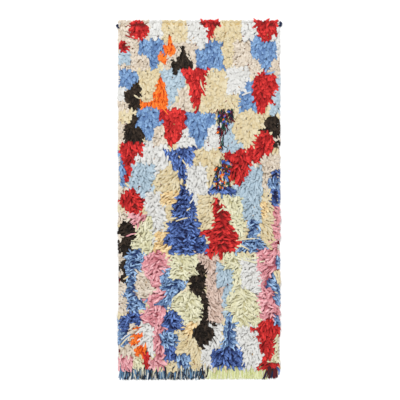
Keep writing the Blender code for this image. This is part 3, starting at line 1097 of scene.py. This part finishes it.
# Ground weave: a thin flat cloth under the pile, ribbed by its rows
weave = dict(under=0.0006, rib=0.0022, valley=0.0014, follow=0.8, columns=60, row=0.020, perRow=2,
             warp=(178, 162, 136), threads=(714, 1200), fuzz=160, gap=(-0.95, 0.5),
             cover=0.65, rough=0.95, specular=0.2, bump=0.5, bumpDeep=0.0008)


def groundWeave(heights):
    rows = round((field["top"] - field["end"]) / weave["row"]) * weave["perRow"]
    xs = np.linspace(-field["halfWidth"], field["halfWidth"], weave["columns"] + 1)
    ys = np.linspace(field["end"], field["top"], rows + 1)
    ribbed = (1 - np.cos(np.arange(rows + 1) * math.tau / weave["perRow"])) / 2
    heightsUp = weave["valley"] + (weave["rib"] - weave["valley"]) * ribbed
    wide = len(xs)
    gridX, gridY = np.meshgrid(xs, ys)
    standing = heights.base[heights.cells(gridX, gridY)] - field["ground"]
    knotted = np.maximum(standing, 0) * weave["follow"]
    top = list(zip(gridX.ravel(), gridY.ravel(), (heightsUp[:, None] + knotted).ravel()))
    base = [(x, y, weave["under"]) for y in ys for x in xs]
    shift = len(top)
    faces = []
    for row in range(rows):
        for column in range(wide - 1):
            a = row * wide + column
            faces.append((a, a + 1, a + 1 + wide, a + wide))
            faces.append((shift + a, shift + a + wide, shift + a + 1 + wide, shift + a + 1))
        for a, flip in ((row * wide, False), (row * wide + wide - 1, True)):
            side = (a, a + wide, shift + a + wide, shift + a)
            faces.append(side[::-1] if flip else side)
    for row, flip in ((0, False), (rows, True)):
        for column in range(wide - 1):
            a = row * wide + column
            end = (a, shift + a, shift + a + 1, a + 1)
            faces.append(end[::-1] if flip else end)
    mesh = bpy.data.meshes.new("ground_weave")
    mesh.from_pydata(top + base, [], faces)
    made = addObject("ground_weave", mesh)
    # the knots show on the cloth in their own yarns, in each yarn's dark tone, which paints shade into
    # the gaps between strands
    knotShadeTones = np.array([(*linear(*yarns[name]["darkAndShade"]), 1.0) for name in formYarns])
    knotShadeTones = knotShadeTones[readPattern(*np.array(top + base)[:, :2].T)[0]]
    layer = mesh.attributes.new("knot", "FLOAT_COLOR", "POINT")
    layer.data.foreach_set("color", np.ascontiguousarray(knotShadeTones, dtype=np.float32).ravel())
    material, g = newMaterial("ground_wool")
    spot = g.node("ShaderNodeTexCoord", output="Object")
    waves = [(g.node("ShaderNodeSeparateXYZ", None, {"Vector": spot}, axis) * pitch).sin()
             for axis, pitch in zip("XY", weave["threads"])]
    weft = waves[1] * waves[0]
    fuzz = g.node("ShaderNodeTexNoise", None,
                  {"Vector": spot, "Scale": weave["fuzz"], "Detail": 3}, "Fac")
    shown = weft.above(*weave["gap"]) * (1 - weave["cover"]) + weave["cover"]
    body = g.mixColour(shown, (*linear(*weave["warp"]), 1), g.attribute("knot", "Color"))
    bump = g.node("ShaderNodeBump", None,
                  {"Height": weft + fuzz, "Strength": weave["bump"], "Distance": weave["bumpDeep"]})
    shader = g.node("ShaderNodeBsdfPrincipled", None, {
        "Base Color": body, "Roughness": weave["rough"], "Specular IOR Level": weave["specular"],
        "Normal": bump})
    g.node("ShaderNodeOutputMaterial", None, {"Surface": shader})
    mesh.materials.append(material)
    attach(made, "root")
    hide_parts("pile_field")
    return made


# Stage

stage = dict(across=2.0, lens=70, sensor=36, seenHeight=0.02, shiftX=0.005, shiftY=-0.0025, side=8.0,
             floor=0.9, floorRough=0.9, sky=0.72,
             lamps=(((-3.6, 7.8, 9.0), 945, 3.0), ((5.4, -5.4, 9.6), 315, 7.5)))


def setStage():
    mesh = bpy.data.meshes.new("floor")
    side = stage["side"]
    corners = [(x * side, y * side, 0) for x, y in ((-1, -1), (1, -1), (1, 1), (-1, 1))]
    mesh.from_pydata(corners, [], [(0, 1, 2, 3)])
    floor = addObject("floor", mesh)
    material, g = newMaterial("paleFloor")
    pale = stage["floor"]
    shader = g.node("ShaderNodeBsdfPrincipled", None,
                    {"Base Color": (pale, pale, pale, 1), "Roughness": stage["floorRough"]})
    g.node("ShaderNodeOutputMaterial", None, {"Surface": shader})
    mesh.materials.append(material)

    world = bpy.data.worlds.new("studio")
    world.use_nodes = True
    g = Graph(world.node_tree)
    sky = g.node("ShaderNodeBackground", None, {"Color": (1, 1, 1, 1), "Strength": stage["sky"]})
    g.node("ShaderNodeOutputWorld", None, {"Surface": sky})
    bpy.context.scene.world = world

    for place, power, size in stage["lamps"]:
        lamp = bpy.data.lights.new("lamp", "AREA")
        lamp.energy = power
        lamp.size = size
        light = addObject("lamp", lamp)
        light.location = place
        light.rotation_euler = (-Vector(place)).to_track_quat("-Z", "Y").to_euler()

    camera = bpy.data.cameras.new("camera")
    camera.lens = stage["lens"]
    camera.sensor_width = stage["sensor"]
    eye = addObject("camera", camera)
    height = stage["across"] * stage["lens"] / stage["sensor"] + stage["seenHeight"]
    eye.location = (stage["shiftX"], stage["shiftY"], height)
    bpy.context.scene.camera = eye
    bpy.context.scene.view_settings.view_transform = "Standard"


# Building

ragStrand = strandTree()
heights = HeightMap()

print("stage: fringe")
fringe = {name: layFringe(heights, run) for name, run in fringeRuns.items()}
print("stage: selvedges")
wraps = laySelvedge(heights)
print("stage: pile")
pile = layPile(heights)
print("stage: strays, tangles and flecks")
fleckLock = layFlecks(heights)
tangleLock = layTangles(heights)
strayLocks = layStrays(heights)
cornerLock = layCorners(heights)

print("stage: pieces")
ground = groundWeave(heights)
finishes = {}
slots = {name: yarn.get("slot", "pile_" + name) for name, yarn in yarns.items()}
for name, yarn in yarns.items():
    finishes[name] = yarnFinish("wool_" + name, yarn)
    strands("pile_" + name, pile[name], finishes[name], "pile_field")
for name, lock in strayLocks.items():
    strands("stray_" + name, lock, finishes[name], "pile_field", taper=0.5)
mixed = {name: mixedFinish("wool_" + name, colours) for name, colours in mixes.items()}
for name, lock in fringe.items():
    strands(name + "_yarns", lock, mixed[name], name, taper=0.85, uneven=0.08, cut="round")
strands("selvedge_wraps", wraps, mixed["selvedge"], "pile_field")
strands("tangled_yarns", tangleLock, mixed["tangle"], "pile_field", taper=0.9)
strands("flecks", fleckLock, mixed["fleck"], "pile_field")
strands("corner_knots", cornerLock, mixed["corner"], "pile_field")

print("stage: floor, light and camera")
setStage()
